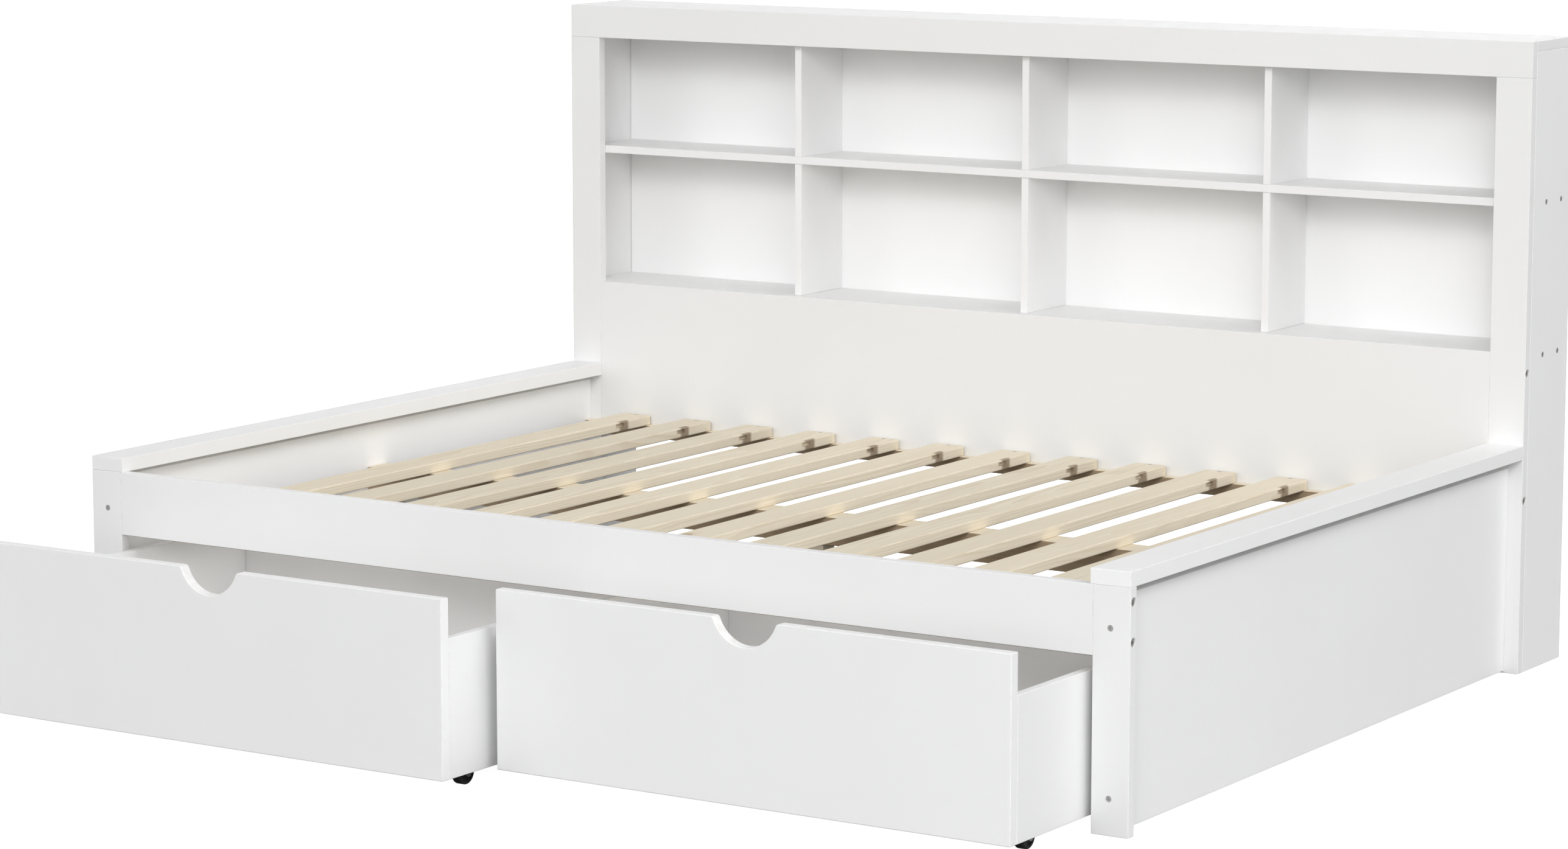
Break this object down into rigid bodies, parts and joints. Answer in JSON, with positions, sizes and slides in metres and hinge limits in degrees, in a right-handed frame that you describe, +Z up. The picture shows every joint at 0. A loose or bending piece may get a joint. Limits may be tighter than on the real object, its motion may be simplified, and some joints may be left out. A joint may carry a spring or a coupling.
{
  "type": "bookcase daybed",
  "caption": "White wooden full-size bed with a bookcase along one long side, low capped sides, a pine slat base and rolling drawers with finger cut-outs under the front rail.",
  "frame": {"origin": "on the floor at the middle of the bed's bounding box, with both drawers part open as they rest", "axes": "+X along the bookcase to the bed's right as seen from the drawers, +Y towards the bookcase, +Z up"},
  "size_m": [2.06, 1.975, 1.126],
  "materials": {
    "white_board": "smooth satin white paint",
    "back_panel": "thin white painted panel",
    "pine_slat": "planed bare pine",
    "pine_strip": "sawn bare pine",
    "dark_steel": "black oxide",
    "screw_steel": "zinc plated",
    "caster_bracket": "zinc plated pressing",
    "caster_wheel": "moulded, lightly scuffed"
  },
  "bodies": {
    "bed": {"back_panel": "back_panel", "beam_cleats": "pine_strip", "bottom_shelf": "white_board", "centre_beam": "pine_strip", "centre_leg": "pine_strip", "divider_centre": "white_board", "divider_left": "white_board", "divider_right": "white_board", "end_panel_left": "white_board", "end_panel_right": "white_board", "frame_bolts": "dark_steel", "front_leg_left": "white_board", "front_leg_right": "white_board", "front_rail": "white_board", "front_slat_ledge": "pine_strip", "lower_panel": "white_board", "mid_shelf": "white_board", "rear_slat_ledge": "pine_strip", "side_cap_left": "white_board", "side_cap_right": "white_board", "side_panel_left": "white_board", "side_panel_right": "white_board", "slat_01": "pine_slat", "slat_02": "pine_slat", "slat_03": "pine_slat", "slat_04": "pine_slat", "slat_05": "pine_slat", "slat_06": "pine_slat", "slat_07": "pine_slat", "slat_08": "pine_slat", "slat_09": "pine_slat", "slat_10": "pine_slat", "slat_11": "pine_slat", "slat_12": "pine_slat", "slat_13": "pine_slat", "stile_left": "white_board", "stile_right": "white_board", "top_board": "white_board", "top_rail": "white_board", "wood_screws": "screw_steel"},
    "left_drawer": {"left_caster_brackets": "caster_bracket", "left_drawer_back": "white_board", "left_drawer_bottom": "white_board", "left_drawer_front": "white_board", "left_drawer_side_left": "white_board", "left_drawer_side_right": "white_board"},
    "left_wheel_front_left": {"left_wheel_front_left": "caster_wheel"},
    "left_wheel_front_right": {"left_wheel_front_right": "caster_wheel"},
    "left_wheel_rear_left": {"left_wheel_rear_left": "caster_wheel"},
    "left_wheel_rear_right": {"left_wheel_rear_right": "caster_wheel"},
    "right_drawer": {"right_caster_brackets": "caster_bracket", "right_drawer_back": "white_board", "right_drawer_bottom": "white_board", "right_drawer_front": "white_board", "right_drawer_side_left": "white_board", "right_drawer_side_right": "white_board"},
    "right_wheel_front_left": {"right_wheel_front_left": "caster_wheel"},
    "right_wheel_front_right": {"right_wheel_front_right": "caster_wheel"},
    "right_wheel_rear_left": {"right_wheel_rear_left": "caster_wheel"},
    "right_wheel_rear_right": {"right_wheel_rear_right": "caster_wheel"}
  },
  "joints": [
    {"name": "left_drawer_roll", "type": "slide", "parent": "bed", "child": "left_drawer", "axis": [0, -1, 0], "range_m": [-0.32, 0.28]},
    {"name": "right_drawer_roll", "type": "slide", "parent": "bed", "child": "right_drawer", "axis": [0, -1, 0], "range_m": [-0.204, 0.396]},
    {"name": "left_wheel_front_left_turn", "type": "hinge", "parent": "left_drawer", "child": "left_wheel_front_left", "pos_m": [-0.9263, -0.8975, 0.02], "axis": [1, 0, 0], "continuous": true},
    {"name": "left_wheel_front_right_turn", "type": "hinge", "parent": "left_drawer", "child": "left_wheel_front_right", "pos_m": [-0.0383, -0.8975, 0.02], "axis": [1, 0, 0], "continuous": true},
    {"name": "left_wheel_rear_left_turn", "type": "hinge", "parent": "left_drawer", "child": "left_wheel_rear_left", "pos_m": [-0.9263, -0.4175, 0.02], "axis": [1, 0, 0], "continuous": true},
    {"name": "left_wheel_rear_right_turn", "type": "hinge", "parent": "left_drawer", "child": "left_wheel_rear_right", "pos_m": [-0.0383, -0.4175, 0.02], "axis": [1, 0, 0], "continuous": true},
    {"name": "right_wheel_front_left_turn", "type": "hinge", "parent": "right_drawer", "child": "right_wheel_front_left", "pos_m": [0.0383, -0.7815, 0.02], "axis": [1, 0, 0], "continuous": true},
    {"name": "right_wheel_front_right_turn", "type": "hinge", "parent": "right_drawer", "child": "right_wheel_front_right", "pos_m": [0.9263, -0.7815, 0.02], "axis": [1, 0, 0], "continuous": true},
    {"name": "right_wheel_rear_left_turn", "type": "hinge", "parent": "right_drawer", "child": "right_wheel_rear_left", "pos_m": [0.0383, -0.3015, 0.02], "axis": [1, 0, 0], "continuous": true},
    {"name": "right_wheel_rear_right_turn", "type": "hinge", "parent": "right_drawer", "child": "right_wheel_rear_right", "pos_m": [0.9263, -0.3015, 0.02], "axis": [1, 0, 0], "continuous": true}
  ],
  "couplings": [
    {"joint": "left_wheel_front_left_turn", "follows": "left_drawer_roll", "rad_per_m": 50},
    {"joint": "left_wheel_front_right_turn", "follows": "left_drawer_roll", "rad_per_m": 50},
    {"joint": "left_wheel_rear_left_turn", "follows": "left_drawer_roll", "rad_per_m": 50},
    {"joint": "left_wheel_rear_right_turn", "follows": "left_drawer_roll", "rad_per_m": 50},
    {"joint": "right_wheel_front_left_turn", "follows": "right_drawer_roll", "rad_per_m": 50},
    {"joint": "right_wheel_front_right_turn", "follows": "right_drawer_roll", "rad_per_m": 50},
    {"joint": "right_wheel_rear_left_turn", "follows": "right_drawer_roll", "rad_per_m": 50},
    {"joint": "right_wheel_rear_right_turn", "follows": "right_drawer_roll", "rad_per_m": 50}
  ]
}
